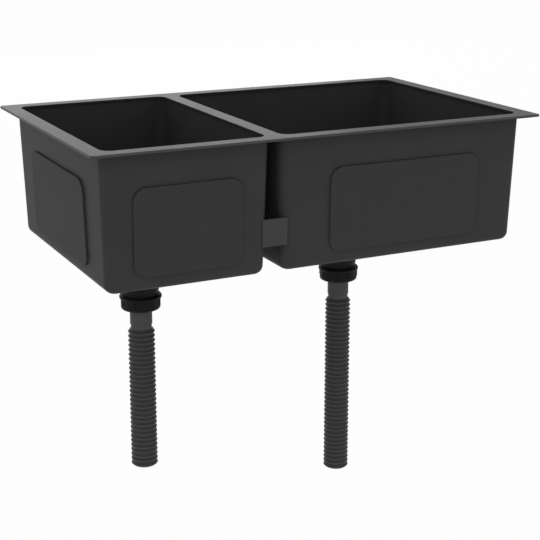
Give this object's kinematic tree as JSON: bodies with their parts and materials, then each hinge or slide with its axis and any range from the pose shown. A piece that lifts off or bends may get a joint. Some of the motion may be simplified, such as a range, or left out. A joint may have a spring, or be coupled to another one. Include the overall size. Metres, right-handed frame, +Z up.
{
  "type": "double bowl kitchen sink",
  "caption": "Rectangular kitchen sink with a small and a large square-cornered bowl, a flat rim, lift-out strainer baskets and ribbed waste hoses hanging below.",
  "frame": {"origin": "centre of the seat under the rim, on the plane of the worktop that the rim's seal lies on", "axes": "+X along the sink from the small bowl to the large one, -Y towards the user, +Z up"},
  "size_m": [0.82, 0.5, 0.7121],
  "materials": {
    "black_steel": "satin",
    "black_steel_fittings": "satin",
    "sound_pad": "matte, finely crosshatched",
    "seal_rubber": "matte",
    "black_plastic": "moulded",
    "grey_plastic": "moulded",
    "hose_plastic": "extruded, slightly glossy",
    "brass": "turned",
    "steel": "polished"
  },
  "bodies": {
    "sink": {"rim_frame": "black_steel", "rim_seal_strip": "seal_rubber", "bridge_strap_front": "black_steel", "bridge_strap_rear": "black_steel", "small_bowl_shell": "black_steel", "small_pad_front": "sound_pad", "small_pad_rear": "sound_pad", "small_pad_left": "sound_pad", "small_pad_bottom": "sound_pad", "large_bowl_shell": "black_steel", "large_pad_front": "sound_pad", "large_pad_rear": "sound_pad", "large_pad_right": "sound_pad", "large_pad_bottom": "sound_pad", "small_flange_gasket": "seal_rubber", "small_strainer_cup": "black_steel_fittings", "small_under_gasket": "seal_rubber", "small_waste_body": "black_plastic", "small_waste_outlet": "black_plastic", "small_clamp_insert": "brass", "small_clamp_screw": "steel", "small_coupling_nut": "black_plastic", "small_sealing_washer": "seal_rubber", "small_hose_collar": "grey_plastic", "small_waste_hose": "hose_plastic", "small_hose_end_cuff": "hose_plastic", "large_flange_gasket": "seal_rubber", "large_strainer_cup": "black_steel_fittings", "large_under_gasket": "seal_rubber", "large_waste_body": "black_plastic", "large_waste_outlet": "black_plastic", "large_clamp_insert": "brass", "large_clamp_screw": "steel", "large_coupling_nut": "black_plastic", "large_sealing_washer": "seal_rubber", "large_hose_collar": "grey_plastic", "large_waste_hose": "hose_plastic", "large_hose_end_cuff": "hose_plastic"},
    "small_basket_lift": {"small_basket": "black_steel_fittings"},
    "small_stopper_lift": {"small_stopper_stem": "steel", "small_stopper_knob": "black_steel_fittings", "small_stopper_disc": "seal_rubber"},
    "large_basket_lift": {"large_basket": "black_steel_fittings"},
    "large_stopper_lift": {"large_stopper_stem": "steel", "large_stopper_knob": "black_steel_fittings", "large_stopper_disc": "seal_rubber"}
  },
  "joints": [
    {"name": "small_basket_lifts_out", "type": "slide", "parent": "sink", "child": "small_basket_lift", "axis": [0, 0, 1], "range_m": [0, 0.3]},
    {"name": "small_stopper_opens", "type": "slide", "parent": "small_basket_lift", "child": "small_stopper_lift", "axis": [0, 0, 1], "range_m": [0, 0.008]},
    {"name": "large_basket_lifts_out", "type": "slide", "parent": "sink", "child": "large_basket_lift", "axis": [0, 0, 1], "range_m": [0, 0.3]},
    {"name": "large_stopper_opens", "type": "slide", "parent": "large_basket_lift", "child": "large_stopper_lift", "axis": [0, 0, 1], "range_m": [0, 0.008]}
  ]
}
